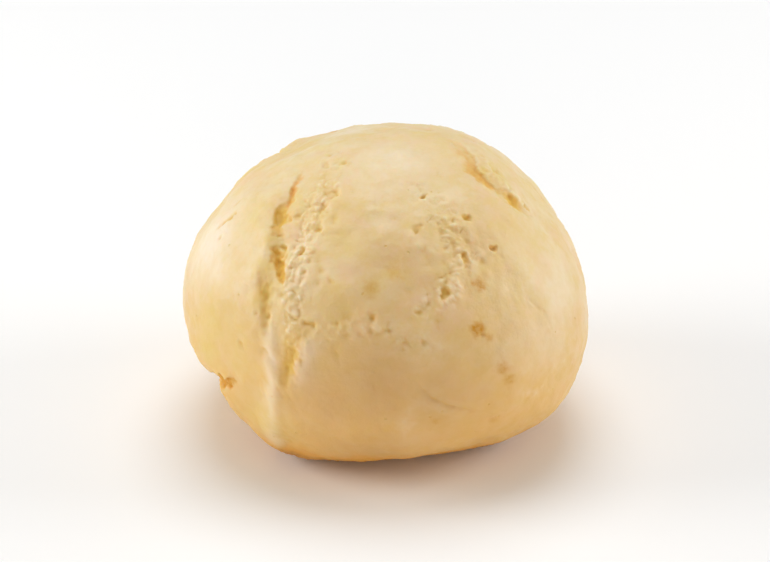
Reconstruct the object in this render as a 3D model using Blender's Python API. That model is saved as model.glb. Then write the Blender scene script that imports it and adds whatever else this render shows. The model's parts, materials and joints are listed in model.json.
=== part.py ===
"""A pao de queijo: one baked cheese bread ball, resting on the flat spot that it baked on.

The ball is a rounded cube of squares, so that it has no poles. Every point is moved straight
out from, or in towards, the middle of the widest line: first to the unbroken skin, fuller below
that line than above it, then over the swells and into the tears where the rising dough has
split its skin. Metres, +Z up, the origin under the middle of the ball on the surface it rests on.

A place on the skin is (longitude, latitude) in degrees. Longitude runs from the front, -Y,
round by the right, +X. Latitude runs up from the widest line.
"""

import math

import bmesh
import bpy
from mathutils import Vector, geometry, noise

# Driving sizes
WIDTH = 0.0568  # side to side, X
DEPTH = 0.0538  # front to back, Y
CROWN_RISE = 0.0225  # from the widest line up to the top
BASE_DROP = 0.0190  # from the widest line down to the flat base
BELLY_DROP = 0.0210  # where the underside would end if it had no flat
CROWN_POWER = 1.96  # 2 is an ellipse; less is more pointed
BELLY_POWER = 2.50  # and more is boxier
BASE_ROUNDING = 0.0012  # how gently the belly turns into the flat

# Mesh
SQUARES_A_SIDE = 17  # of the cube that is rounded
FINE_REACHES = (0.0020, 0.0004)  # squares this near to a tear's edge are halved, once for each reach
EASING_ROUNDS = 3
EASING = 0.5  # how far each round moves a point towards its neighbours

# Hand-rolled unevenness
NOISE_SEED = 1795408190  # a tear strays from its path in the same way every time
LUMP_HEIGHT = 0.0008
LUMPS_ACROSS = 1.7
WANDER = 0.018  # how far a tear strays from its path, as a share of the radius
WANDERS_ACROSS = 6.0
DEPTH_CHANGE = 0.35  # how much a tear's depth varies along it
DEPTHS_ACROSS = 9.0

LIP_REACH = 0.0020  # how far a tear's raised lip spreads, either way
TAPER_POWER = 0.6  # less keeps a tear deep for more of its length

SKIN_COLOUR = (0.83, 0.62, 0.34, 1.0)
SKIN_ROUGHNESS = 0.6

MEAN_RADIUS = (WIDTH + DEPTH) / 4


def towards(longitude, latitude):
    """The unit vector from the middle of the ball to a place on its skin."""
    lon, lat = math.radians(longitude), math.radians(latitude)
    return Vector((math.sin(lon) * math.cos(lat), -math.cos(lon) * math.cos(lat), math.sin(lat)))


class Swell:
    """A broad rise of the skin, or a hollow where height is negative."""

    def __init__(self, place, reach, height):
        self.centre = towards(*place)
        self.reach = reach
        self.height = height

    def offset(self, direction):
        away = (direction - self.centre).length * MEAN_RADIUS / self.reach
        return self.height * math.exp(-away * away)


class Tear:
    """A split in the skin along a path.

    The floor meets the skin at left_run and right_run from the path, so one wall can be steep and
    the other a long slope. A lip is how proud the skin stands beside that edge.
    """

    def __init__(self, path, depth, left_run, right_run, left_lip=0.0, right_lip=0.0):
        self.points = [towards(*place) for place in path]
        self.depth = depth
        self.left_run = left_run
        self.right_run = right_run
        self.left_lip = left_lip
        self.right_lip = right_lip

    def nearest(self, direction):
        """(metres from the path, positive on its left, and the share of the way along it)."""
        best = (math.inf, 0.0)
        last = len(self.points) - 1
        for i, (a, b) in enumerate(zip(self.points, self.points[1:])):
            _, share = geometry.intersect_point_line(direction, a, b)
            share = min(max(share, 0.0), 1.0)
            away = (direction - a.lerp(b, share)).length * MEAN_RADIUS
            if away < abs(best[0]):
                left = (b - a).cross(direction - a).dot(direction) > 0
                best = (away if left else -away, (i + share) / last)
        return best

    def offset(self, direction):
        strayed = direction + WANDER * noise.noise_vector(direction * WANDERS_ACROSS)
        away, along = self.nearest(strayed.normalized())
        taper = math.sin(math.pi * along) ** TAPER_POWER
        share = away / self.left_run if away > 0 else -away / self.right_run
        cut = self.depth * max(0.0, 1 - share * share) ** 2
        cut *= 1 + DEPTH_CHANGE * noise.noise(direction * DEPTHS_ACROSS)
        left = self.left_lip * math.exp(-(((away - self.left_run) / LIP_REACH) ** 2))
        right = self.right_lip * math.exp(-(((away + self.right_run) / LIP_REACH) ** 2))
        return taper * (left + right - cut)

    def is_within(self, reach, direction):
        away, _ = self.nearest(direction)
        return -self.right_run - reach < away < self.left_run + reach


SWELLS = [
    Swell((-66, 14), reach=0.0110, height=0.0008),  # the smooth cheek left of the front tear
    Swell((60, 2), reach=0.0120, height=0.0009),  # the smooth right side
    Swell((100, 14), reach=0.0120, height=-0.0015),  # and the flat behind it
    Swell((60, -28), reach=0.0090, height=0.0009),  # the full underside, right and left
    Swell((50, -50), reach=0.0070, height=0.0007),
    Swell((-42, -42), reach=0.0080, height=0.0016),
    Swell((-76, -30), reach=0.0085, height=-0.0021),  # the belly drawn in below the nick
    Swell((24, -46), reach=0.0100, height=-0.0014),  # and the hollow between them
    Swell((-103, 26), reach=0.0070, height=-0.0014),  # the flat shoulders
    Swell((-111, 36), reach=0.0060, height=0.0007),
    Swell((-128, 51), reach=0.0075, height=-0.0008),
    Swell((88, 40), reach=0.0100, height=-0.0009),
    Swell((118, 60), reach=0.0070, height=0.0008),  # the knob behind the crown's tear
    Swell((172, 24), reach=0.0085, height=0.0010),  # the plate between the two tears at the back
    Swell((-148, -6), reach=0.0120, height=0.0006),
]

TEARS = [
    # Down the front, left of the middle: the cheek on the tear's right has a steep edge
    Tear(
        [(-80, 59), (-65, 53), (-52, 42), (-43, 32), (-40, 22), (-36, 12), (-32, 3), (-34, -12)],
        depth=0.0012,
        left_run=0.0022,
        right_run=0.0010,
        right_lip=0.0006,
    ),
    # On the crown's right shoulder
    Tear(
        [(104, 66), (88, 62), (70, 57), (71, 48), (69, 43), (75, 36)],
        depth=0.0014,
        left_run=0.0010,
        right_run=0.0018,
        left_lip=0.0009,
    ),
    # The nick low on the left side, where the cheek folds over the belly
    Tear(
        [(-106, -30), (-92, -21), (-84, -22), (-72, -18), (-58, -11)],
        depth=0.0024,
        left_run=0.0010,
        right_run=0.0020,
        left_lip=0.0005,
    ),
    # Two long splits down the back, with a plate of skin between them
    Tear(
        [(152, 55), (156, 42), (163, 26), (156, 8), (166, -18)],
        depth=0.0018,
        left_run=0.0012,
        right_run=0.0020,
        left_lip=0.0006,
    ),
    Tear(
        [(-166, 50), (-176, 36), (-169, 20), (-176, 6), (-170, -4)],
        depth=0.0015,
        left_run=0.0016,
        right_run=0.0011,
        right_lip=0.0006,
    ),
    # The edge of the cap that has lifted at the back left
    Tear(
        [(-118, 28), (-128, 36), (-141, 34), (-149, 22), (-146, 7)],
        depth=0.0014,
        left_run=0.0020,
        right_run=0.0010,
        right_lip=0.0004,
    ),
]


def skin_point(direction):
    """Where the unbroken skin lies in this direction."""
    across = math.hypot(direction.x / (WIDTH / 2), direction.y / (DEPTH / 2))
    if direction.z > 0:
        up, power = direction.z / CROWN_RISE, CROWN_POWER
    else:
        up, power = -direction.z / BELLY_DROP, BELLY_POWER
    return direction * (across**power + up**power) ** (-1 / power)


def above_base(height):
    """A height over the base plane: exactly 0 where the ball lies on it, then a rounded turn up."""
    if height > BASE_ROUNDING:
        return height
    if height < -BASE_ROUNDING:
        return 0.0
    return (height + BASE_ROUNDING) ** 2 / (4 * BASE_ROUNDING)


def shaped(direction):
    """The ball's surface in this direction, over the base plane."""
    lump = LUMP_HEIGHT * noise.noise(direction * LUMPS_ACROSS)
    offset = lump + sum(feature.offset(direction) for feature in SWELLS + TEARS)
    point = skin_point(direction) + direction * offset
    point.z = above_base(point.z + BASE_DROP)
    return point


def rounded_cube():
    """A cube cut into squares and rounded into a ball of radius 1, its squares all about one size."""
    bm = bmesh.new()
    bmesh.ops.create_cube(bm, size=2.0)
    bmesh.ops.subdivide_edges(bm, edges=bm.edges, cuts=SQUARES_A_SIDE - 1, use_grid_fill=True)
    for vert in bm.verts:
        vert.co = Vector(math.tan(c * math.pi / 4) for c in vert.co).normalized()
    return bm


def halve_squares_near_tears(bm):
    """Finer squares where the tears run, so that they keep their edges."""
    for reach in FINE_REACHES:
        edges = []
        for edge in bm.edges:
            middle = (edge.verts[0].co + edge.verts[1].co).normalized()
            if any(tear.is_within(reach, middle) for tear in TEARS):
                edges.append(edge)
        bmesh.ops.subdivide_edges(bm, edges=edges, cuts=1, use_grid_fill=True)
        for vert in bm.verts:
            vert.co.normalize()


def ease_edges(bm):
    """Takes the steps that the squares leave out of the tears' walls. The flat base stays as it is."""
    free = [vert for vert in bm.verts if vert.co.z > 0]
    for _ in range(EASING_ROUNDS):
        bmesh.ops.smooth_vert(
            bm, verts=free, factor=EASING, use_axis_x=True, use_axis_y=True, use_axis_z=True
        )


def centre_over_origin(bm):
    """Moves the ball sideways until its outer box is centred on the origin."""
    for axis in (0, 1):
        places = [vert.co[axis] for vert in bm.verts]
        middle = (min(places) + max(places)) / 2
        for vert in bm.verts:
            vert.co[axis] -= middle


def crust_material():
    material = bpy.data.materials.new("baked_crust")
    material.use_nodes = True
    shader = material.node_tree.nodes["Principled BSDF"]
    shader.inputs["Base Color"].default_value = SKIN_COLOUR
    shader.inputs["Roughness"].default_value = SKIN_ROUGHNESS
    shader.inputs["Metallic"].default_value = 0.0
    return material


def make_cheese_ball(collection):
    bm = rounded_cube()
    halve_squares_near_tears(bm)
    for vert in bm.verts:
        vert.co = shaped(vert.co)
    ease_edges(bm)
    centre_over_origin(bm)
    mesh = bpy.data.meshes.new("cheese_ball")
    bm.to_mesh(mesh)
    bm.free()
    mesh.shade_smooth()
    mesh.materials.append(crust_material())
    collection.objects.link(bpy.data.objects.new("cheese_ball", mesh))


def main():
    for obj in list(bpy.data.objects):
        bpy.data.objects.remove(obj)
    noise.seed_set(NOISE_SEED)
    collection = bpy.data.collections.new("pao_de_queijo")
    bpy.context.scene.collection.children.link(collection)
    make_cheese_ball(collection)


main()
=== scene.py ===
import json
import math

import bpy
import numpy as np
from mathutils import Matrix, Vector, noise

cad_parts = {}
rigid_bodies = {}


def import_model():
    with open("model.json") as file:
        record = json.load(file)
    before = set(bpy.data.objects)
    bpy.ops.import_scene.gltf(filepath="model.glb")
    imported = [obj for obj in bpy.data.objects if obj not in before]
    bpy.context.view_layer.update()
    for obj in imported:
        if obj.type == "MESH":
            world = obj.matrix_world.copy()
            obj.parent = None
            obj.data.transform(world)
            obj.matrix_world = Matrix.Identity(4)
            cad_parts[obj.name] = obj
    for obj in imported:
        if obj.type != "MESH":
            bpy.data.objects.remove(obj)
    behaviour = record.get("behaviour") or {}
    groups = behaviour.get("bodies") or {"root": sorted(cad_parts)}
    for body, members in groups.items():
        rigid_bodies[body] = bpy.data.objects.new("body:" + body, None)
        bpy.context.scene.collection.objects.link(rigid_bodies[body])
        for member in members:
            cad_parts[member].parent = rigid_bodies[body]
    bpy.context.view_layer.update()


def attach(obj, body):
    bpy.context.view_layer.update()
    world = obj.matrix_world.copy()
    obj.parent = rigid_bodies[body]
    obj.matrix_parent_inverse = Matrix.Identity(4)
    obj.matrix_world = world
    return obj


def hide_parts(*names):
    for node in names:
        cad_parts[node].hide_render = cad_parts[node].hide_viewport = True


for obj in list(bpy.data.objects):
    bpy.data.objects.remove(obj)
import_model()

mm = 0.001
noise.seed_set(198)  # so that the tears stray in the same way every time


def deselectAll():
    bpy.ops.object.select_all(action="DESELECT")


def makeActive(obj):
    deselectAll()
    obj.select_set(True)
    bpy.context.view_layer.objects.active = obj


def applyModifier(obj, kind, **settings):
    makeActive(obj)
    modifier = obj.modifiers.new(kind.title(), kind)
    for name, value in settings.items():
        setattr(modifier, name, value)
    bpy.ops.object.modifier_apply(modifier=modifier.name)


def towards(longitude, latitude):
    lon, lat = math.radians(longitude), math.radians(latitude)
    return Vector((math.sin(lon) * math.cos(lat), -math.cos(lon) * math.cos(lat), math.sin(lat)))


def smoothStep(low, high, values):
    share = np.clip((values - low) / (high - low), 0.0, 1.0)
    return share * share * (3 - 2 * share)


def bell(values, width):
    return np.exp(-((values / width) ** 2))


# A place on the ball is (longitude, latitude) in degrees: longitude from the front round by the
# right, latitude up from the widest line. All of it is seen from the middle of that line.
ball = {
    "node": "cheese_ball",
    "middle": Vector((0.5 * mm, -0.5 * mm, 19.0 * mm)),
    "radius": 27.0 * mm,
    "startsAt": 1.3,  # radii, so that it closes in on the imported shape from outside
    "sideCuts": 2,  # in each side of the cube that it starts from
    "roundings": 5,  # each makes four squares of one
    "easing": 26,  # rounds of smoothing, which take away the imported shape's facets
    "ironing": 160,  # more rounds, where its tears make way for finer ones
    "wander": 0.018,  # how far the tears stray from their paths, as a share of the radius
    "wandersAcross": 6.0,  # how many times they do it in a radius
    "fineReach": 1.2 * mm,  # squares this near to a tear are halved, and half this near to a crack
    "bandShare": 0.8,  # so are those within this share of a band's reach
    "bandCoarse": 0.35,  # where the band is coarser than this
}


def copyOfNode(name):
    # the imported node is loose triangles, so its copy is merged
    makeActive(bpy.data.objects[name])
    bpy.ops.object.duplicate()
    copy = bpy.context.view_layer.objects.active
    copy.name = "shapeToFollow"
    bpy.ops.object.mode_set(mode="EDIT")
    bpy.ops.mesh.select_all(action="SELECT")
    bpy.ops.mesh.remove_doubles(threshold=1e-6)
    bpy.ops.mesh.normals_make_consistent(inside=False)
    bpy.ops.object.mode_set(mode="OBJECT")
    return copy


def placesOf(obj):
    places = np.empty(len(obj.data.vertices) * 3)
    obj.data.vertices.foreach_get("co", places)
    return places.reshape(-1, 3) - np.array(ball["middle"])


def setPlaces(obj, places):
    obj.data.vertices.foreach_set("co", (places + np.array(ball["middle"])).ravel())
    obj.data.update()


def normalsOf(obj):
    normals = np.empty(len(obj.data.vertices) * 3)
    obj.data.vertex_normals.foreach_get("vector", normals)
    return normals.reshape(-1, 3)


def noiseField(spots, size, shift):
    # the shift keeps one field from repeating another
    away = Vector((shift, 1.7 * shift, -shift))
    return np.array([noise.noise(spot / size + away) for spot in spots])


def cellField(spots, size, shift):
    # rounded lumps packed together: 1 at the middle of a lump, falling to 0 in the creases
    away = Vector((shift, 1.7 * shift, -shift))
    near, second = np.array([noise.voronoi(spot / size + away)[0][:2] for spot in spots]).T
    return np.clip(1.3 * (second - near), 0.0, 1.0) ** 0.7


def strayedDirections(spots, wander, across):
    strayed = [spot.normalized() for spot in spots]
    strayed = [(d + wander * noise.noise_vector(d * across)).normalized() for d in strayed]
    return np.array(strayed)


def alongPath(directions, path):
    # for every direction: metres from the path, positive on its left, what the path's points say
    # there, mixed between the two nearest, and which way the path lies
    best = np.full(len(directions), np.inf)
    told = np.zeros((len(directions), len(path[0]) - 2))
    toward = np.zeros((len(directions), 3))
    for first, second in zip(path, path[1:]):
        a, b = np.array(towards(*first[:2])), np.array(towards(*second[:2]))
        run = b - a
        share = np.clip(((directions - a) @ run) / (run @ run), 0.0, 1.0)
        near = a + share[:, None] * run
        away = np.linalg.norm(directions - near, axis=1) * ball["radius"]
        left = np.einsum("ij,ij->i", np.cross(run, directions - a), directions) > 0
        away = np.where(left, away, -away)
        closer = np.abs(away) < np.abs(best)
        best[closer] = away[closer]
        mix = share[closer, None]
        told[closer] = (1 - mix) * np.array(first[2:]) + mix * np.array(second[2:])
        toward[closer] = (near - directions)[closer]
    toward /= np.maximum(np.linalg.norm(toward, axis=1), 1e-9)[:, None]
    return best, told, toward


def pitShare(directions, lon, lat, across, along, turn):
    # 0 at the middle of the pit, 1 at its edge
    up = towards(lon, lat)
    east = Vector((0, 0, 1)).cross(up).normalized()
    north = up.cross(east)
    angle = math.radians(turn)
    wide = math.cos(angle) * east + math.sin(angle) * north
    tall = math.cos(angle) * north - math.sin(angle) * east
    u = (directions @ np.array(wide)) * ball["radius"] / (across * mm / 2)
    v = (directions @ np.array(tall)) * ball["radius"] / (along * mm / 2)
    return np.where(directions @ np.array(up) > 0, np.hypot(u, v), 99.0)


# Where the crust has split. A point is longitude, latitude, then how far the tear reaches to the
# left and the right of its path and how deep it is, in mm. The lips are how proud the skin stands
# beside it, and an edge with a lip is steep. broken: how much of the skin still bridges it. ochre,
# orange and toast: how much of each colour it holds; in the nick the toast is partly painted shade
# of the deep crevice. pull: how far its lips hang over it, if not as far as the others' do. ragged:
# how many times as far as the others' its edges stray.
tears = {
    "frontSlit": {
        "path": [(-72, 58, 0.6, 0.4, 0.05), (-62, 52, 1.0, 0.5, 0.32), (-56, 47, 0.8, 0.4, 0.20)],
        "leftLip": 0.0, "rightLip": 0.03, "broken": 0.0, "ochre": 0.4, "orange": 0.7,
    },
    "frontPit": {
        "path": [(-58, 48, 0.9, 0.5, 0.10), (-54, 43, 1.6, 0.9, 0.36), (-48, 38, 0.8, 0.5, 0.15)],
        "leftLip": 0.0, "rightLip": 0.0, "broken": 0.0, "ochre": 1.0, "orange": 0.1, "toastAndShade": 0.12,
    },
    "goldPit": {
        "path": [(-45, 34, 0.7, 0.5, 0.15), (-41, 30, 1.3, 0.9, 0.66), (-37, 25, 0.7, 0.4, 0.20)],
        "leftLip": 0.0, "rightLip": 0.0, "broken": 0.0, "ochre": 1.0, "orange": 0.2, "toastAndShade": 0.35,
    },
    "oliveSlot": {
        "path": [(-44, 27, 0.6, 0.5, 0.05), (-40, 21, 1.1, 0.9, 0.24), (-38, 15, 1.0, 0.8, 0.20),
                 (-37, 11, 0.6, 0.5, 0.05)],
        "leftLip": 0.0, "rightLip": 0.0, "broken": 0.0, "ochre": 0.7, "orange": 0.0,
    },
    "lowerGroove": {
        "path": [(-28, 14, 0.7, 0.6, 0.05), (-29, 8, 1.2, 1.0, 0.22), (-30, 2, 1.2, 1.0, 0.26),
                 (-31, -6, 0.7, 0.6, 0.05)],
        "leftLip": 0.0, "rightLip": 0.0, "broken": 0.0, "ochre": 0.8, "orange": 0.0,
    },
    "crownSlit": {
        "path": [(103, 67, 0.5, 1.0, 0.05), (87, 63, 0.7, 1.7, 0.14), (71, 58, 0.7, 1.9, 0.18),
                 (69, 52, 0.6, 1.6, 0.18), (71, 48, 0.5, 1.2, 0.10)],
        "leftLip": 0.16, "rightLip": 0.0, "broken": 0.15, "ochre": 0.8, "orange": 0.7,
    },
    "crownPit": {
        "path": [(72, 48, 0.6, 1.0, 0.12), (71, 43, 0.9, 1.7, 0.32), (73, 38, 0.6, 0.9, 0.06)],
        "leftLip": 0.06, "rightLip": 0.0, "broken": 0.0, "ochre": 1.0, "orange": 0.2,
    },
    # its dark toasted inside is partly painted shade of the deep crevice
    "nick": {
        "path": [(-91, -28, 0.3, 0.4, 0.05), (-85, -25, 0.5, 0.8, 0.30), (-78, -21.5, 0.9, 1.8, 0.75),
                 (-72, -18.5, 1.3, 2.5, 1.10), (-66, -16, 1.3, 2.7, 0.75), (-60, -13.5, 1.2, 2.4, 0.60),
                 (-54, -11, 0.9, 1.5, 0.42), (-49, -9, 0.3, 0.5, 0.05)],
        "leftLip": 0.14, "rightLip": 0.12, "broken": 0.25, "ochre": 0.9, "orange": 0.8, "toastAndShade": 1.0,
        "pull": 0.30, "ragged": 1.5,
    },
    "backLeft": {
        "path": [(152, 54, 0.5, 0.9, 0.10), (156, 42, 0.8, 1.8, 0.60), (163, 26, 0.8, 1.5, 0.70),
                 (156, 8, 0.9, 1.9, 0.80), (166, -18, 0.5, 0.9, 0.10)],
        "leftLip": 0.20, "rightLip": 0.0, "broken": 0.7, "ochre": 0.7, "orange": 0.3,
    },
    "backRight": {
        "path": [(-166, 50, 0.7, 0.5, 0.10), (-176, 36, 1.6, 0.7, 0.60), (-169, 20, 1.3, 0.7, 0.60),
                 (-176, 6, 1.4, 0.7, 0.50), (-170, -4, 0.7, 0.4, 0.10)],
        "leftLip": 0.0, "rightLip": 0.16, "broken": 0.7, "ochre": 0.7, "orange": 0.2,
    },
    "cap": {
        "path": [(-121, 38, 0.7, 0.4, 0.05), (-131, 38, 1.5, 0.6, 0.6), (-141, 34, 1.9, 0.7, 0.8),
                 (-149, 22, 1.6, 0.6, 0.7), (-146, 7, 0.7, 0.4, 0.1)],
        "leftLip": 0.0, "rightLip": 0.10, "broken": 0.6, "ochre": 0.7, "orange": 0.3,
    },
}

# Where the skin is torn open or crumbly over a band: longitude, latitude, the reach to the left
# and the right in mm, and how coarse it is
bands = {
    "front": [(-72, 72, 2.5, 1.5, 0.4), (-52, 64, 3.5, 2.0, 0.7), (-43, 50, 4.0, 2.0, 1.0),
              (-36, 34, 3.5, 1.2, 1.0), (-32, 20, 3.2, 1.2, 0.9), (-28, 6, 2.4, 1.0, 0.7),
              (-30, -8, 1.2, 1.0, 0.2)],
    "mid": [(-22, 14, 2.0, 2.0, 0.5), (-8, 16, 2.2, 2.2, 0.5), (4, 13, 2.2, 2.2, 0.5),
            (14, 12, 1.6, 1.6, 0.3)],
    "right": [(20, 62, 2.0, 2.0, 0.4), (27, 48, 3.2, 3.2, 0.8), (30, 36, 2.6, 2.6, 0.7),
              (20, 26, 2.8, 2.8, 0.8), (9, 20, 1.8, 1.8, 0.5)],
    "crown": [(104, 66, 2.0, 2.0, 0.4), (80, 58, 3.0, 2.0, 0.7), (72, 42, 2.0, 2.0, 0.7),
              (76, 34, 1.5, 1.5, 0.2)],
    "nick": [(-108, -24, 1.5, 2.0, 0.5), (-96, -22, 1.5, 2.0, 0.6), (-88, -22, 0.8, 2.5, 0.4),
             (-62, -17, 0.3, 2.0, 0.2)],
    "backLeft": [(152, 56, 2.5, 3.0, 0.4), (157, 40, 3.0, 4.5, 0.9), (159, 10, 3.0, 4.0, 1.0),
                 (166, -20, 2.0, 3.0, 0.4)],
    "backRight": [(-166, 52, 3.0, 2.0, 0.4), (-174, 36, 4.0, 2.5, 0.9), (-172, 10, 3.0, 2.0, 0.7),
                  (-168, -10, 2.0, 1.5, 0.2)],
    "cap": [(-114, 24, 2.5, 1.5, 0.5), (-130, 36, 4.0, 1.5, 1.0), (-148, 24, 4.0, 1.5, 1.0),
            (-144, 2, 3.0, 1.5, 0.6)],
    "side": [(118, 4, 2.5, 2.5, 0.5), (124, -14, 3.0, 3.0, 0.6), (112, -30, 2.0, 2.0, 0.3)],
}

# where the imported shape's own tears are ironed out, wholly or in part, before finer ones are
# opened: longitude, latitude, reach in mm, and how much
ironed = [
    (-64, 53, 3.0, 0.6),
    (-53, 43, 3.5, 0.6),
    (-44, 32, 3.5, 0.6),
    (-41, 22, 3.5, 1.0),
    (-37, 13, 4.0, 1.0),
    (-33, 3, 4.5, 1.0),
    (-33, -9, 4.5, 1.0),
    (90, 63, 3.5, 0.9),
    (74, 58, 4.0, 0.9),
    (70, 46, 4.0, 0.8),
    (-102, -28, 5.5, 1.0),
    (-94, -22, 5.0, 1.0),
    (-81, -21, 4.0, 0.4),
    (-64, -14, 4.5, 1.0),
    (-119, 29, 5.0, 1.0),
]

# pits: longitude, latitude, width, height, turn in degrees and depth, all sizes in mm, then how ochre
pits = [
    (-46, 46, 1.5, 1.2, 0, 0.28, 0.6),
    (-43, 35, 1.3, 1.1, 0, 0.30, 0.7),
    (-35, 37, 1.3, 1.8, -20, 0.35, 0.5),
    (-32, 44, 1.2, 1.0, 0, 0.20, 0.3),
    (-25, 16, 2.0, 0.9, 10, 0.22, 0.4),
    (-37, 57, 2.6, 3.4, -10, 0.30, 0.25),
    (-77, 69, 1.7, 1.2, 0, 0.16, 0.3),
    (-52, 71, 2.4, 1.5, 30, 0.18, 0.3),
    (-65, 66, 1.6, 1.2, 0, 0.14, 0.2),
    (-75, 31, 0.9, 3.0, -12, 0.22, 0.7),
    (-80, 36, 0.8, 1.4, -20, 0.15, 0.5),
    (-70, 27, 0.8, 1.1, 10, 0.12, 0.4),
    (-5, 20, 1.2, 1.5, 20, 0.24, 0.5),
    (-16, 17, 1.1, 0.9, 0, 0.18, 0.4),
    (23, 59, 2.2, 1.2, 10, 0.36, 0.7),
    (38, 47, 2.0, 1.2, 0, 0.40, 0.9),
    (42, 35, 1.2, 1.1, 0, 0.48, 0.4),
    (29, 35, 1.1, 3.2, -12, 0.32, 0.6),
    (19, 26, 1.5, 3.2, -20, 0.38, 0.6),
    (9, 21, 1.1, 1.0, 0, 0.22, 0.5),
    (76, 38, 1.2, 1.2, 0, 0.25, 0.5),
    (84, 53, 2.6, 1.9, 0, 0.25, 0.3),
    (-30, 30, 1.5, 1.0, 20, 0.25, 0.3),
    (-20, 29, 1.3, 0.9, -10, 0.15, 0.3),
    (13, 47, 1.8, 1.2, 30, 0.20, 0.3),
    (28, 12, 1.0, 0.8, 0, 0.15, 0.0),
]

# thin cracks: longitude, latitude, half width and depth in mm
cracks = [
    [(8, 1, 0.20, 0.02), (11, -4, 0.34, 0.24), (16, -8, 0.36, 0.30), (21, -10, 0.34, 0.24),
     (27, -12, 0.20, 0.02)],
    [(0, 10, 0.20, 0.02), (4, 12, 0.28, 0.14), (10, 12, 0.20, 0.02)],
    [(-19, 12, 0.20, 0.02), (-15, 9, 0.28, 0.14), (-13, 3, 0.20, 0.02)],
    [(-4, 4, 0.20, 0.02), (-4, -3, 0.26, 0.12), (-2, -12, 0.20, 0.02)],
    [(-59, 31, 0.20, 0.02), (-61, 22, 0.26, 0.10), (-59, 12, 0.20, 0.02)],
    [(44, 20, 0.20, 0.02), (50, 12, 0.26, 0.10), (52, 2, 0.20, 0.02)],
    [(98, 44, 0.20, 0.02), (106, 34, 0.30, 0.18), (104, 20, 0.20, 0.02)],
    [(-96, 44, 0.20, 0.02), (-92, 32, 0.30, 0.18), (-98, 18, 0.20, 0.02)],
    [(136, 30, 0.20, 0.02), (132, 14, 0.30, 0.20), (138, 0, 0.20, 0.02)],
]

# ridges of the crust: longitude, latitude, how far it falls away to the left and the right, and
# its height, in mm
folds = [
    [(-35.5, 14, 1.0, 1.2, 0.10), (-34.5, 6, 1.1, 1.5, 0.38), (-33.5, -4, 1.1, 1.8, 0.44),
     (-35, -14, 1.1, 2.0, 0.44), (-38, -24, 1.2, 2.2, 0.34), (-41, -36, 1.4, 2.5, 0.05)],
    [(-21, 16, 1.4, 0.9, 0.05), (-23, 9, 1.6, 1.0, 0.22), (-25, 1, 1.6, 1.0, 0.22),
     (-28, -8, 1.4, 0.9, 0.03)],
    [(10, -7, 0.5, 0.5, 0.03), (17, -11, 0.6, 0.5, 0.16), (26, -14, 0.6, 0.5, 0.03)],
    [(14, 56, 1.0, 0.8, 0.03), (21, 53, 1.2, 0.8, 0.20), (28, 48, 1.2, 0.8, 0.22),
     (36, 44, 1.0, 0.7, 0.24), (43, 44, 0.9, 0.7, 0.03)],
    [(22, 39, 0.9, 0.9, 0.03), (24, 32, 1.0, 0.9, 0.22), (22, 22, 1.0, 0.9, 0.22),
     (15, 17, 0.9, 0.9, 0.03)],
    [(30, 12, 1.0, 1.6, 0.02), (37, 4, 1.2, 2.2, 0.16), (44, -4, 1.0, 2.0, 0.02)],
    [(-80, 6, 1.4, 0.6, 0.05), (-76, -6, 1.4, 0.6, 0.35), (-66, -10, 1.4, 0.6, 0.25),
     (-54, -4, 1.4, 0.6, 0.02)],
    [(-94, -18, 2.2, 0.9, 0.05), (-88, -18, 2.4, 1.0, 0.50), (-82, -17, 2.4, 1.0, 0.45),
     (-77, -15, 2.2, 0.9, 0.03)],
    [(-96, -40, 1.2, 2.6, 0.10), (-84, -37, 1.2, 3.0, 0.60), (-72, -32, 1.2, 3.2, 0.80),
     (-60, -26, 1.2, 2.8, 0.40), (-54, -20, 1.0, 2.0, 0.03)],
]

# specks of toasted cheese: longitude, latitude, across in mm, and strength
specks = [
    (31, 26, 1.9, 1.00),
    (27, 14, 2.0, 1.20),
    (30, 11, 1.2, 0.70),
    (33, 1, 1.6, 0.75),
    (35, -3, 1.8, 0.65),
    (14, -14, 1.3, 0.45),
    (32, -17, 1.6, 0.40),
    (-6, 28, 2.4, 0.45),
    (2, 33, 2.2, 0.30),
    (-118, 20, 1.4, 0.8),
    (-104, -8, 1.5, 0.6),
    (112, 8, 1.5, 0.8),
    (128, 30, 1.2, 0.6),
    (142, -6, 1.6, 0.7),
    (176, 58, 1.4, 0.5),
    (-150, 50, 1.5, 0.6),
]

# soft patches of deeper colour: longitude, latitude, reach in mm, and how deep
butterZones = [
    (-54, 43, 2.4, 0.8),
    (-47, 36, 2.4, 0.8),
    (-43, 28, 2.4, 0.9),
    (-40, 20, 2.4, 0.9),
    (74, 56, 2.6, 0.8),
    (79, 51, 2.8, 0.9),
    (-58, 6, 5.5, 0.9),
    (-60, -4, 4.5, 0.9),
    (-48, -1, 4.0, 0.7),
    (-62, 40, 5.0, 0.5),
    (-50, 50, 4.0, 0.6),
    (-40, -20, 6.0, 0.8),
    (-6, 28, 2.0, 1.0),
    (2, 33, 1.6, 0.8),
    (9, 49, 1.6, 0.7),
    (-20, 42, 3.5, 0.6),
    (150, 10, 8.0, 0.7),
    (-120, -4, 8.0, 0.7),
    (100, 30, 5.0, 0.5),
]

# patches paler than the rest, partly paler crust and partly painted highlight where the cheek, the crown
# and the right side catch the light: longitude, latitude, reach in mm, and how much paler
palerAndHighlitZones = [
    (-74, 24, 8.0, 1.1),
    (-62, 20, 4.0, 0.7),
    (-88, 4, 6.0, 0.6),
    (50, 5, 6.0, 0.4),
    (60, 14, 6.0, 0.6),
    (78, 0, 6.0, 0.5),
    (20, 76, 10.0, 0.5),
    (-36, -12, 3.0, 0.4),
    (130, 50, 7.0, 0.5),
    (-150, 62, 6.0, 0.5),
]

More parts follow.
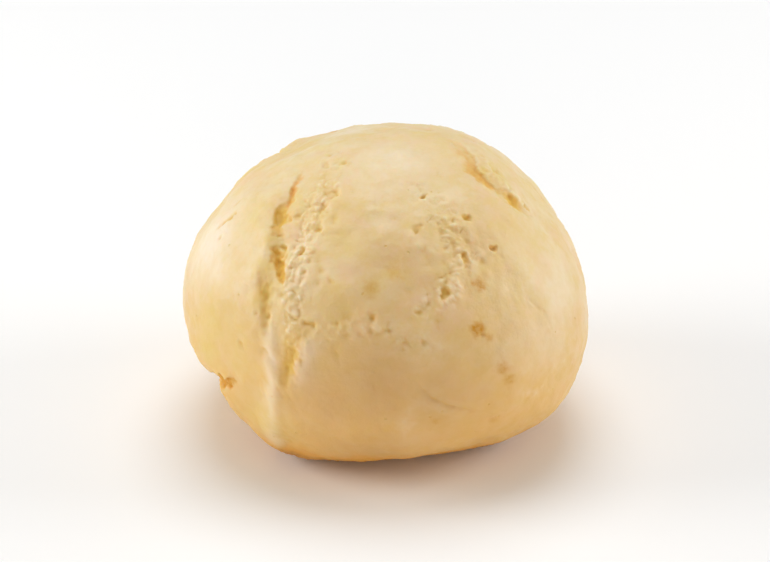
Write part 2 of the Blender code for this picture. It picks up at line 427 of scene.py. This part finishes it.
# the tan patches of the front, painted shade of the front that faces away from the lamps with some
# deeper crust colour, which end at the first fold: longitude, latitude, reach, how tan
tanAndShadeZones = [
    (-20, -6, 9.0, 0.8),
    (-2, -2, 10.0, 0.8),
    (13, -6, 8.5, 0.75),
    (-4, -30, 10.0, 0.9),
    (2, 40, 8.0, 0.25),
    (-2, 24, 8.0, 0.22),
    (37, 38, 4.5, 0.30),
]

# small unevenness strewn over the skin: how many, the least and the most across and in height or
# depth, in mm, and the longitudes and latitudes that it keeps to
everywhere = ((-180, 180), (-90, 90))
strewn = {
    "dents": (110, (2.5, 7.0), (-0.20, -0.05), everywhere),
    "blisters": (90, (1.5, 4.0), (0.04, 0.14), everywhere),
    "smallPits": (170, (0.7, 1.6), (-0.16, -0.04), everywhere),
    "frontPits": (34, (0.6, 1.3), (-0.26, -0.08), ((-50, -24), (4, 60))),
    "midPits": (30, (0.5, 1.2), (-0.24, -0.08), ((-24, 16), (7, 19))),
    "midCrumbs": (24, (0.6, 1.4), (0.06, 0.16), ((-24, 16), (7, 19))),
    "rightPits": (26, (0.6, 1.3), (-0.26, -0.08), ((12, 40), (22, 60))),
    "rightCrumbs": (26, (0.7, 1.5), (0.06, 0.18), ((12, 40), (22, 60))),
    "hatching": (26, (0.5, 1.1), (-0.12, 0.10), ((-20, 6), (-22, 6))),
}


def makeBall():
    # a cube, rounded, so that there are no poles
    target = copyOfNode(ball["node"])
    startRadius = ball["startsAt"] * ball["radius"]
    deselectAll()
    bpy.ops.mesh.primitive_cube_add(size=startRadius * 2, location=ball["middle"])
    crust = bpy.context.view_layer.objects.active
    crust.name = "crust"
    bpy.ops.object.transform_apply(location=True, rotation=False, scale=False)
    bpy.ops.object.mode_set(mode="EDIT")
    bpy.ops.mesh.select_all(action="SELECT")
    bpy.ops.mesh.subdivide(number_cuts=ball["sideCuts"])
    bpy.ops.object.mode_set(mode="OBJECT")
    applyModifier(crust, "SUBSURF", levels=ball["roundings"], render_levels=ball["roundings"])
    places = placesOf(crust)
    places *= startRadius / np.linalg.norm(places, axis=1)[:, None]
    setPlaces(crust, places)
    applyModifier(
        crust,
        "SHRINKWRAP",
        target=target,
        wrap_method="PROJECT",
        use_negative_direction=True,
        use_positive_direction=False,
    )
    return crust, target


def refine(crust):
    # halve the squares where the small relief goes, up to half a mm beyond the pits
    places = placesOf(crust)
    spots = [Vector(p) for p in places]
    plain = places / np.linalg.norm(places, axis=1)[:, None]
    strayed = strayedDirections(spots, ball["wander"], ball["wandersAcross"])
    near = np.zeros(len(places), dtype=bool)
    for tear in tears.values():
        away, told, _ = alongPath(strayed, tear["path"])
        left, right, _ = (told * mm).T
        near |= (away < left + ball["fineReach"]) & (away > -right - ball["fineReach"])
    for path in bands.values():
        away, told, _ = alongPath(plain, path)
        left, right, coarse = told.T
        within = (away < ball["bandShare"] * left * mm) & (away > -ball["bandShare"] * right * mm)
        near |= within & (coarse > ball["bandCoarse"])
    for path in cracks:
        away, _, _ = alongPath(plain, path)
        near |= np.abs(away) < 0.5 * ball["fineReach"]
    for lon, lat, across, along, turn, *_ in pits:
        near |= pitShare(plain, lon, lat, across + 1, along + 1, turn) < 1
    makeActive(crust)
    bpy.ops.object.mode_set(mode="EDIT")
    bpy.ops.mesh.select_all(action="DESELECT")
    bpy.ops.object.mode_set(mode="OBJECT")
    for face in crust.data.polygons:
        face.select = all(near[v] for v in face.vertices)
    bpy.ops.object.mode_set(mode="EDIT")
    bpy.ops.mesh.select_mode(type="FACE")
    bpy.ops.mesh.subdivide(number_cuts=1, smoothness=0.0)
    bpy.ops.object.mode_set(mode="OBJECT")


def weightGroup(obj, name, weights):
    group = obj.vertex_groups.new(name=name)
    for index in np.nonzero(weights > 0.002)[0]:
        group.add([int(index)], float(min(weights[index], 1.0)), "REPLACE")


def zoneShare(directions, zones):
    # how much of the zones' effect each direction gets, the most of any zone
    share = np.zeros(len(directions))
    for lon, lat, reach, much in zones:
        away = np.linalg.norm(directions - np.array(towards(lon, lat)), axis=1) * ball["radius"]
        share = np.maximum(share, much * bell(away, 0.7 * reach * mm))
    return share


def easeFacets(crust, target):
    # smooth all but the flat base
    applyModifier(crust, "SHRINKWRAP", target=target, wrap_method="NEAREST_SURFACEPOINT")
    height = placesOf(crust)[:, 2] + ball["middle"].z
    weightGroup(crust, "aboveBase", smoothStep(0.02 * mm, 0.3 * mm, height))
    applyModifier(crust, "SMOOTH", factor=0.5, iterations=ball["easing"], vertex_group="aboveBase")
    places = placesOf(crust)
    plain = places / np.linalg.norm(places, axis=1)[:, None]
    weightGroup(crust, "ironed", smoothStep(0.05, 0.5, zoneShare(plain, ironed)))
    applyModifier(crust, "SMOOTH", factor=0.5, iterations=ball["ironing"], vertex_group="ironed")
    crust.vertex_groups.clear()


print("ball: rounding a cube onto the packed shape")
crust, target = makeBall()
refine(crust)
easeFacets(crust, target)
bpy.data.objects.remove(target)
triangles = sum(len(face.vertices) - 2 for face in crust.data.polygons)
print("ball:", len(crust.data.vertices), "points,", triangles, "triangles")

# how the torn dough and the skin are worked, sizes in mm
relief = {
    "edgeStray": (0.60, 1.6),  # how far a tear's edge wanders, and over what length
    "fineStray": (0.30, 0.6),
    "patch": 2.6,  # across the patches where a tear is bridged or its colour deeper
    "coarsePatch": 7.0,  # across those where the skin is a little coarse
    "cracklePatch": 8.0,  # and across those where it is crackled
    "smoothAt": (0, 28),  # the middle of the smooth front
    "lump": (1.9, 0.34),  # across a lump of the coarse dough, and how far it stands out
    "pebble": (0.95, 0.18),
    "crease": (2.6, 0.16),
    "longCrease": (6.0, 0.17),
    "crumbHole": 0.95,  # across the bubbles in the torn dough
    "crumbDepth": 0.30,
    "grain": 0.40,
    "grainDepth": 0.16,
    "skinLump": 5.0,
    "skinLumpDepth": 0.60,
    "wrinkle": 1.6,
    "wrinkleDepth": 0.20,
    "pull": 0.22,  # how far a tear's lip hangs over it
    "baseRim": 3.2,  # up to what height the crust is crumbly where it lay on the tray
    "seed": 5,
    "highlitRidges": 2,  # how many of the folds, from the first, get a painted highlight along the top
}


def startSkin(crust):
    places = placesOf(crust)
    spots = [Vector(p) for p in places]
    names = ("cut", "raised", "floor", "ochre", "orange", "toastAndShade", "coarse", "crestHighlight")
    skin = {name: np.zeros(len(places)) for name in names}
    skin["spots"] = spots
    skin["plain"] = places / np.linalg.norm(places, axis=1)[:, None]
    skin["strayed"] = strayedDirections(spots, ball["wander"], ball["wandersAcross"])
    skin["height"] = places[:, 2] + ball["middle"].z
    skin["pull"] = np.zeros((len(places), 3))
    far, by = relief["edgeStray"]
    skin["wander"] = far * noiseField(spots, by * mm, 3.1)
    far, by = relief["fineStray"]
    skin["wander"] += far * noiseField(spots, by * mm, 7.7)
    skin["patchy"] = noiseField(spots, relief["patch"] * mm, 11.3)
    # the sides and the back are crackled in patches, the smooth front is not
    fromFront = 1 - smoothStep(-0.05, 0.35, skin["plain"] @ np.array(towards(*relief["smoothAt"])))
    patches = smoothStep(-0.25, 0.25, noiseField(spots, relief["cracklePatch"] * mm, 81.0))
    skin["crackled"] = fromFront * patches
    return skin


def openTears(skin):
    for tear in tears.values():
        away, told, toward = alongPath(skin["strayed"], tear["path"])
        left, right, depth = (told * mm).T
        share = np.where(away > 0, away / left, -away / right)
        ragged = tear.get("ragged", 1.0) * skin["wander"] * mm
        share = share + ragged / np.maximum(np.minimum(left, right), 0.8 * mm)
        lip = np.where(away > 0, tear["leftLip"], tear["rightLip"]) * mm
        steep = smoothStep(0.0, 0.15 * mm, lip)
        opened = 1 - tear["broken"] * (1 - smoothStep(-0.15, 0.2, skin["patchy"]))
        inside = (1 - smoothStep(0.1 + 0.4 * steep, 1.1, share)) * opened
        edge = bell(share - 1.45, 0.6) * smoothStep(0, 0.4 * mm, depth) * opened
        tint = 1 - smoothStep(0.3, 1.4, share)
        tint *= opened * smoothStep(0, 0.3 * mm, depth)
        skin["cut"] = np.maximum(skin["cut"], depth * inside)
        skin["floor"] = np.maximum(skin["floor"], inside * smoothStep(0, 0.3 * mm, depth))
        skin["raised"] = np.maximum(skin["raised"], lip * edge)
        pull = tear.get("pull", relief["pull"]) * mm
        skin["pull"] += toward * (pull * edge * steep)[:, None]
        skin["ochre"] = np.maximum(skin["ochre"], tear["ochre"] * tint)
        spotty = smoothStep(-0.4, 0.4, skin["patchy"] + 0.6 * inside)
        skin["orange"] = np.maximum(skin["orange"], tear["orange"] * tint * spotty)
        skin["toastAndShade"] = np.maximum(skin["toastAndShade"], tear.get("toastAndShade", 0.0) * inside * (0.5 + 0.5 * spotty))


def openPits(skin):
    for lon, lat, across, along, turn, depth, ochre in pits:
        share = pitShare(skin["plain"], lon, lat, across, along, turn) + 1.5 * skin["wander"]
        inside = 1 - smoothStep(0.1, 1.1, share)
        skin["cut"] = np.maximum(skin["cut"], depth * mm * inside)
        skin["floor"] = np.maximum(skin["floor"], 0.4 * inside)
        skin["raised"] = np.maximum(skin["raised"], 0.05 * mm * bell(share - 1.4, 0.6))
        skin["ochre"] = np.maximum(skin["ochre"], ochre * (1 - smoothStep(0.2, 1.2, share)))


def scoreCracks(skin):
    for path in cracks:
        away, told, _ = alongPath(skin["plain"], path)
        half, depth = (told * mm).T
        share = np.abs(away + 0.6 * mm * skin["wander"]) / half
        skin["cut"] = np.maximum(skin["cut"], depth * bell(share, 1.0))


def raiseFolds(skin):
    for number, path in enumerate(folds):
        away, told, _ = alongPath(skin["plain"], path)
        left, right, tall = (told * mm).T
        away = away + 0.7 * mm * skin["wander"]
        share = np.where(away > 0, away / left, -away / right)
        skin["raised"] += tall * bell(share, 1.0) * (1 + 0.5 * skin["patchy"]) * (1 - skin["floor"])
        if number < relief["highlitRidges"]:
            # a painted highlight along the top of the fold
            crestHighlight = 0.65 * bell(share, 0.8) * smoothStep(0.03 * mm, 0.25 * mm, tall) * (1 - skin["floor"])
            skin["crestHighlight"] = np.maximum(skin["crestHighlight"], crestHighlight)


def coarsen(skin):
    for path in bands.values():
        away, told, _ = alongPath(skin["plain"], path)
        away = away + 1.6 * mm * skin["wander"]
        share = np.where(away > 0, away / told[:, 0], -away / told[:, 1]) / mm
        skin["coarse"] = np.maximum(skin["coarse"], told[:, 2] * (1 - smoothStep(0.45, 1.15, share)))
    # patches all over the skin, and the rim that lay on the tray
    patches = smoothStep(0.0, 0.5, noiseField(skin["spots"], relief["coarsePatch"] * mm, 61.0))
    skin["coarse"] = np.maximum(skin["coarse"], 0.30 * patches)
    rim = 1 - smoothStep(0.4, 1.0, skin["height"] / (relief["baseRim"] * mm) + 0.5 * skin["patchy"])
    skin["coarse"] = np.clip(np.maximum(skin["coarse"], 0.7 * rim), 0.0, 1.0)


def strewnRelief(skin):
    chance = np.random.default_rng(relief["seed"])
    total = np.zeros(len(skin["plain"]))
    for count, (least, most), (lowest, highest), (lons, lats) in strewn.values():
        for _ in range(count):
            low, high = (math.sin(math.radians(lat)) for lat in lats)
            latitude = math.degrees(math.asin(chance.uniform(low, high)))
            spot = np.array(towards(chance.uniform(*lons), latitude))
            size = chance.uniform(least, most) * mm
            tall = chance.uniform(lowest, highest) * mm
            away = np.linalg.norm(skin["plain"] - spot, axis=1) * ball["radius"]
            total += tall * bell(away * (1 + 0.8 * skin["wander"]), 0.5 * size)
    return total


def displace(crust, name, weights, strength, texture=None, middle=0.5):
    weightGroup(crust, name, weights)
    applyModifier(
        crust,
        "DISPLACE",
        texture=texture,
        texture_coords="LOCAL",
        direction="NORMAL",
        strength=strength,
        mid_level=middle if texture else 0.0,
        vertex_group=name,
    )
    crust.vertex_groups.remove(crust.vertex_groups[name])


def reliefTexture(name, kind, size, **settings):
    texture = bpy.data.textures.new(name, kind)
    texture.noise_scale = size
    for key, value in settings.items():
        setattr(texture, key, value)
    return texture


def workCrust(crust):
    skin = startSkin(crust)
    openTears(skin)
    openPits(skin)
    scoreCracks(skin)
    coarsen(skin)
    raiseFolds(skin)
    spots, coarse, floor = skin["spots"], skin["coarse"], skin["floor"]
    aboveBase = smoothStep(0.3 * mm, 1.5 * mm, skin["height"])

    across, tall = relief["lump"]
    heights = tall * coarse * (cellField(spots, across * mm, 1.5) - 0.5)
    across, tall = relief["pebble"]
    heights += tall * coarse * (cellField(spots, across * mm, 4.5) - 0.5)
    across, tall = relief["crease"]
    lined = np.maximum(0.12 + 0.88 * coarse, 0.8 * skin["crackled"])
    heights -= tall * lined * bell(noiseField(spots, across * mm, 71.0), 0.06)
    across, tall = relief["longCrease"]
    heights -= tall * skin["crackled"] * bell(noiseField(spots, across * mm, 91.0), 0.035)
    heights = heights * mm + strewnRelief(skin) + skin["raised"] - skin["cut"]

    # the skin's own slow unevenness, then all that is worked into it, then the grain of the dough
    displace(crust, "skin", aboveBase, relief["skinLumpDepth"] * mm,
             reliefTexture("skinLumps", "CLOUDS", relief["skinLump"] * mm, noise_depth=1))
    displace(crust, "wrinkles", (0.5 + 0.5 * coarse) * aboveBase, relief["wrinkleDepth"] * mm,
             reliefTexture("wrinkles", "CLOUDS", relief["wrinkle"] * mm, noise_depth=3))
    for name, part, sign in (("raised", np.maximum(heights, 0), 1), ("lowered", np.maximum(-heights, 0), -1)):
        most = float(part.max())
        displace(crust, name, part / most * aboveBase, sign * most)
    displace(crust, "crumb", floor * aboveBase, relief["crumbDepth"] * mm,
             reliefTexture("crumbHoles", "VORONOI", relief["crumbHole"] * mm), middle=0.6)
    displace(crust, "grain", np.clip(0.2 + floor + 0.6 * coarse, 0, 1) * aboveBase, relief["grainDepth"] * mm,
             reliefTexture("crumbGrain", "CLOUDS", relief["grain"] * mm, noise_depth=1))

    places = placesOf(crust) + skin["pull"] * aboveBase[:, None]
    places[:, 2] = np.maximum(places[:, 2], -ball["middle"].z)
    setPlaces(crust, places)
    return skin


def neighbourMeans(obj, values, rounds):
    edges = np.empty(len(obj.data.edges) * 2, dtype=np.int64)
    obj.data.edges.foreach_get("vertices", edges)
    edges = edges.reshape(-1, 2)
    count = np.bincount(edges.ravel(), minlength=len(values))[:, None]
    values = values.copy()
    for _ in range(rounds):
        total = np.zeros_like(values)
        np.add.at(total, edges[:, 0], values[edges[:, 1]])
        np.add.at(total, edges[:, 1], values[edges[:, 0]])
        values = total / count
    return values


def storeAttribute(obj, name, values):
    attribute = obj.data.attributes.new(name=name, type="FLOAT", domain="POINT")
    attribute.data.foreach_set("value", np.clip(values, 0.0, 1.0).astype(np.float32))


# how the colours are spread, sizes in mm
toning = {
    "evening": 12,  # rounds of averaging, which show what is hollow and what stands out
    "hollowRange": 0.5,
    "highlightHeight": (0.015, 0.17),  # from how far a bump stands out its painted highlight begins, and where it is palest
    "highlightShare": (0.03, 0.77),  # how much painted highlight on smooth skin, and what coarse skin adds
    "blotch": 0.7,
    "tanAndShadeEdge": (-0.5, 1.2),  # from the first fold, where the tan and painted shade begin and where they are full
    "brownedAndShadedEdge": (0.3, 7.5, 3.0, 1.5),  # heights where the browned base, with painted contact shade at its rim, is full and where that ends, then across a wave of the edge and how far it goes
    "lowEdge": (4.0, 34.0, 9.0, 3.0),  # then across a wave of the edge and how far it goes
}


def lowShare(skin, edge, shift):
    # 1 at the base, 0 above a wavy edge
    full, end, across, far = (size * mm for size in edge)
    height = skin["height"] + far * noiseField(skin["spots"], across, shift)
    return 1 - smoothStep(full, end, height)


def colourCrust(crust, skin):
    plain, spots = skin["plain"], skin["spots"]
    places = placesOf(crust)
    evened = neighbourMeans(crust, places, toning["evening"])
    hollow = np.einsum("ij,ij->i", evened - places, normalsOf(crust))
    storeAttribute(crust, "hollow", 0.5 + hollow / (toning["hollowRange"] * mm))
    low, high = toning["highlightHeight"]
    smooth, coarse = toning["highlightShare"]
    # what stands out is painted paler: a painted highlight on the raised crumbs and bumps
    raisedHighlight = smoothStep(low * mm, high * mm, -hollow) * (smooth + coarse * skin["coarse"])
    for name in ("ochre", "orange"):
        storeAttribute(crust, name, skin[name])

    blotch = noiseField(spots, toning["blotch"] * mm, 31.0)
    toastAndShade = skin["toastAndShade"]
    for lon, lat, across, strength in specks:
        away = np.linalg.norm(plain - np.array(towards(lon, lat)), axis=1) * ball["radius"]
        away = away * (1 + 0.7 * blotch)
        toastAndShade = np.maximum(toastAndShade, strength * (1 - smoothStep(0.1 * across * mm, 0.7 * across * mm, away)))
    storeAttribute(crust, "toastAndShade", toastAndShade)

    storeAttribute(crust, "butter", zoneShare(plain, butterZones) * (1 + 0.4 * blotch))
    # paler crust and painted highlight, joined by the painted highlights of the ridge tops and raised crumbs
    palerAndHighlit = zoneShare(plain, palerAndHighlitZones) * (1 + 0.4 * blotch)
    storeAttribute(crust, "palerAndHighlit", np.max((palerAndHighlit, skin["crestHighlight"], raisedHighlight), axis=0))
    # the tan front: painted shade with some deeper crust colour, ending at the first fold
    beyondFold, _, _ = alongPath(plain, folds[0])
    begins, full = toning["tanAndShadeEdge"]
    storeAttribute(crust, "tanAndShade", zoneShare(plain, tanAndShadeZones) * smoothStep(begins * mm, full * mm, beyondFold))
    # the browned base, with painted contact shade along its rim
    storeAttribute(crust, "brownedAndShaded", lowShare(skin, toning["brownedAndShadedEdge"], 41.0))
    # deeper gold towards the base: baked colour, and painted shade of the lower half
    storeAttribute(crust, "low", lowShare(skin, toning["lowEdge"], 51.0))


crustColours = {
    "cream": (0.790, 0.605, 0.320),
    "pale": (0.820, 0.675, 0.430),
    "rosy": (0.820, 0.600, 0.380),
    "palerAndHighlit": (0.890, 0.790, 0.635),
    "butter": (0.752, 0.568, 0.190),
    "golden": (0.750, 0.440, 0.120),
    "tanAndShade": (0.610, 0.375, 0.145),
    "ochre": (0.740, 0.480, 0.085),
    "orange": (0.780, 0.340, 0.045),
    "toastAndShade": (0.610, 0.280, 0.014),
    "rustAndShade": (0.770, 0.385, 0.060),
    "bottom": (0.470, 0.205, 0.045),
}


def newNode(tree, kind, at, **settings):
    made = tree.nodes.new(kind)
    made.location = at
    for name, value in settings.items():
        setattr(made, name, value)
    return made


def mixColours(tree, at, share, first, second):
    mix = newNode(tree, "ShaderNodeMix", at, data_type="RGBA")
    for socket, value in ((mix.inputs[0], share), (mix.inputs[6], first), (mix.inputs[7], second)):
        if isinstance(value, (tuple, float)):
            socket.default_value = (*value, 1.0) if isinstance(value, tuple) else value
        else:
            tree.links.new(value, socket)
    return mix.outputs[2]


def calculate(tree, at, operation, first, second):
    sums = newNode(tree, "ShaderNodeMath", at, operation=operation)
    for socket, value in zip(sums.inputs, (first, second)):
        if isinstance(value, float):
            socket.default_value = value
        else:
            tree.links.new(value, socket)
    return sums.outputs[0]


def remap(tree, at, value, low, high, toLow=0.0, toHigh=1.0):
    ranges = newNode(tree, "ShaderNodeMapRange", at, interpolation_type="SMOOTHSTEP")
    tree.links.new(value, ranges.inputs["Value"])
    for name, number in (("From Min", low), ("From Max", high), ("To Min", toLow), ("To Max", toHigh)):
        ranges.inputs[name].default_value = number
    return ranges.outputs["Result"]


def noiseNode(tree, at, size, detail, roughness=0.5):
    # size is about how far apart its blobs are, in metres
    coordinates = newNode(tree, "ShaderNodeTexCoord", (at[0] - 200, at[1]))
    made = newNode(tree, "ShaderNodeTexNoise", at)
    made.inputs["Scale"].default_value = 1 / size
    made.inputs["Detail"].default_value = detail
    made.inputs["Roughness"].default_value = roughness
    tree.links.new(coordinates.outputs["Object"], made.inputs["Vector"])
    return made.outputs["Fac"]


def poreNode(tree, at, size, share, radius):
    # pinholes in this share of the cells of a Voronoi texture: 1 in a hole, 0 outside
    coordinates = newNode(tree, "ShaderNodeTexCoord", (at[0] - 200, at[1]))
    cells = newNode(tree, "ShaderNodeTexVoronoi", at)
    cells.inputs["Scale"].default_value = 1 / size
    tree.links.new(coordinates.outputs["Object"], cells.inputs["Vector"])
    hole = remap(tree, (at[0] + 200, at[1]), cells.outputs["Distance"], 0.4 * radius, radius, 1.0, 0.0)
    parts = newNode(tree, "ShaderNodeSeparateColor", (at[0] + 200, at[1] - 200))
    tree.links.new(cells.outputs["Color"], parts.inputs["Color"])
    chosen = calculate(tree, (at[0] + 400, at[1] - 200), "LESS_THAN", parts.outputs[0], share)
    return calculate(tree, (at[0] + 600, at[1]), "MULTIPLY", hole, chosen)


def crustMaterial():
    material = bpy.data.materials.new("bakedCrust")
    material.use_nodes = True
    tree = material.node_tree
    shader = tree.nodes["Principled BSDF"]
    shader.location = (1400, 400)

    def painted(name, at):
        return newNode(tree, "ShaderNodeAttribute", at, attribute_name=name).outputs["Fac"]

    def times(at, value, amount):
        return calculate(tree, at, "MULTIPLY", value, amount)

    slow = remap(tree, (-1400, 800), noiseNode(tree, (-1600, 800), 9 * mm, 3.0), 0.35, 0.65)
    drift = remap(tree, (-1400, 600), noiseNode(tree, (-1600, 600), 5 * mm, 2.0), 0.45, 0.7)
    middling = remap(tree, (-1400, 400), noiseNode(tree, (-1600, 400), 2.4 * mm, 4.0, 0.6), 0.35, 0.7)
    fine = remap(tree, (-1400, 200), noiseNode(tree, (-1600, 200), 0.5 * mm, 3.0, 0.6), 0.3, 0.7)
    pores = poreNode(tree, (-1600, -800), 1.5 * mm, 0.16, 0.15)

    hollow = remap(tree, (-800, 0), painted("hollow", (-1000, 0)), 0.52, 0.95)
    mottled = remap(tree, (-600, -100), fine, 0.0, 1.0, 0.6, 1.0)
    brownedAndShaded = painted("brownedAndShaded", (-1000, -600))
    underneath = remap(tree, (-600, -300), brownedAndShaded, 0.55, 1.0)
    uneven = remap(tree, (-600, -400), middling, 0.0, 1.0, 0.6, 1.0)

    # each colour goes over those before it
    colour = mixColours(tree, (-1200, 600), slow, crustColours["cream"], crustColours["pale"])
    steps = (
        ("rosy", times((-1200, 400), drift, 0.75)),
        ("butter", times((-1000, 400), middling, 0.45)),
        ("golden", times((-1000, 300), fine, 0.07)),
        # deeper gold towards the base, partly painted shade of the lower half
        ("golden", times((-800, 400), painted("low", (-1000, 300)), 0.8)),
        # paler patches, with painted highlights on the cheek, crown, right side, ridge tops and raised crumbs
        ("palerAndHighlit", times((-1100, 200), painted("palerAndHighlit", (-1200, 200)), 0.8)),
        # the tan front: painted shade with some deeper crust colour
        ("tanAndShade", times((-600, 500), painted("tanAndShade", (-1000, 220)), 0.8)),
        ("butter", times((-600, 400), painted("butter", (-1000, 150)), 0.7)),
        # ochre in the hollows: painted shade in the recesses
        ("ochre", times((-600, 200), hollow, 0.5)),
        ("ochre", times((-400, 300), pores, 0.35)),
        ("ochre", times((-400, 200), painted("ochre", (-1000, -150)), 0.95)),
        ("orange", times((-400, 0), painted("orange", (-1000, -300)), 0.9)),
        # toasted specks of cheese, and painted shade inside the nick
        ("toastAndShade", times((-400, -150), painted("toastAndShade", (-1000, -450)), mottled)),
        # browned rim, deepened with painted contact shade
        ("rustAndShade", remap(tree, (-400, -250), brownedAndShaded, 0.0, 0.70, 0.0, 0.90)),
        ("bottom", times((-400, -300), underneath, uneven)),
    )
    for step, (name, share) in enumerate(steps):
        colour = mixColours(tree, (-1000 + 200 * step, 700), share, colour, crustColours[name])
    tree.links.new(colour, shader.inputs["Base Color"])

    dull = remap(tree, (1000, 200), middling, 0.0, 1.0, 0.50, 0.66)
    tree.links.new(dull, shader.inputs["Roughness"])
    shader.inputs["Specular IOR Level"].default_value = 0.35
    shader.inputs["Subsurface Weight"].default_value = 0.45
    shader.inputs["Subsurface Radius"].default_value = (1.0, 0.55, 0.25)
    shader.inputs["Subsurface Scale"].default_value = 2.2 * mm

    # pinholes, then ever finer roughness, each with how tall it is
    bumps = (
        (calculate(tree, (-600, -900), "SUBTRACT", 1.0, pores), 0.07 * mm),
        (noiseNode(tree, (-500, -1100), 1.3 * mm, 3.0, 0.6), 0.11 * mm),
        (noiseNode(tree, (-300, -1100), 0.45 * mm, 3.0, 0.6), 0.018 * mm),
        (noiseNode(tree, (-100, -1100), 0.15 * mm, 2.0, 0.6), 0.004 * mm),
    )
    normal = None
    for level, (height, tall) in enumerate(bumps):
        bump = newNode(tree, "ShaderNodeBump", (200 * level, -800))
        bump.inputs["Strength"].default_value = 1.0
        bump.inputs["Distance"].default_value = tall
        tree.links.new(height, bump.inputs["Height"])
        if normal:
            tree.links.new(normal, bump.inputs["Normal"])
        normal = bump.outputs["Normal"]
    tree.links.new(normal, shader.inputs["Normal"])
    return material


print("crust: tears, pits and crumb")
skin = workCrust(crust)
print("crust: colours")
colourCrust(crust, skin)
crust.data.materials.clear()
crust.data.materials.append(crustMaterial())
makeActive(crust)
bpy.ops.object.shade_smooth()
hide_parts(ball["node"])
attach(crust, "root")

studio = {
    "floorSize": 6.0,
    "floorColour": (0.96, 0.97, 0.985),
    "lookAt": Vector((0.0, 0.0, 20 * mm)),
    "elevation": 28,  # of the camera, in degrees
    "distance": 0.53,
    "lens": 180,
    "ambient": ((1.0, 0.98, 0.95), 0.24),
    "lamps": {
        "top": {"at": (0.0, 0.16, 0.55), "size": 0.42, "power": 1.62, "colour": (1.0, 1.0, 1.0)},
        "left": {"at": (-0.50, 0.0, 0.22), "size": 0.30, "power": 1.52, "colour": (1.0, 1.0, 0.98)},
        "right": {"at": (0.50, 0.04, 0.20), "size": 0.30, "power": 1.24, "colour": (1.0, 0.99, 0.97)},
        "front": {"at": (0.0, -0.50, 0.12), "size": 0.30, "power": 0.55, "colour": (1.0, 0.76, 0.48)},
    },
}


def floorMaterial():
    material = bpy.data.materials.new("paleFloor")
    material.use_nodes = True
    shader = material.node_tree.nodes["Principled BSDF"]
    shader.inputs["Base Color"].default_value = (*studio["floorColour"], 1.0)
    shader.inputs["Roughness"].default_value = 0.7
    shader.inputs["Specular IOR Level"].default_value = 0.2
    return material


def buildStudio():
    deselectAll()
    bpy.ops.mesh.primitive_plane_add(size=studio["floorSize"])
    floor = bpy.context.view_layer.objects.active
    floor.name = "floor"
    floor.data.materials.append(floorMaterial())
    for name, lamp in studio["lamps"].items():
        deselectAll()
        bpy.ops.object.light_add(type="AREA", location=lamp["at"])
        light = bpy.context.view_layer.objects.active
        light.name = name + "Lamp"
        light.data.shape = "DISK"
        light.data.size = lamp["size"]
        light.data.energy = lamp["power"]
        light.data.color = lamp["colour"]
        light.rotation_euler = (studio["lookAt"] - light.location).to_track_quat("-Z", "Y").to_euler()
    scene = bpy.context.scene
    scene.world = bpy.data.worlds.new("softWhite")
    scene.world.use_nodes = True
    backdrop = scene.world.node_tree.nodes["Background"]
    tone, strength = studio["ambient"]
    backdrop.inputs["Color"].default_value = (*tone, 1.0)
    backdrop.inputs["Strength"].default_value = strength
    scene.view_settings.view_transform = "Standard"

    up = math.radians(studio["elevation"])
    back = Vector((0.0, -math.cos(up), math.sin(up)))
    deselectAll()
    bpy.ops.object.camera_add(location=studio["lookAt"] + back * studio["distance"])
    camera = bpy.context.view_layer.objects.active
    camera.data.lens = studio["lens"]
    camera.data.clip_start = 0.01
    camera.rotation_euler = (-back).to_track_quat("-Z", "Y").to_euler()
    scene.camera = camera


print("studio: floor, lamps and camera")
buildStudio()
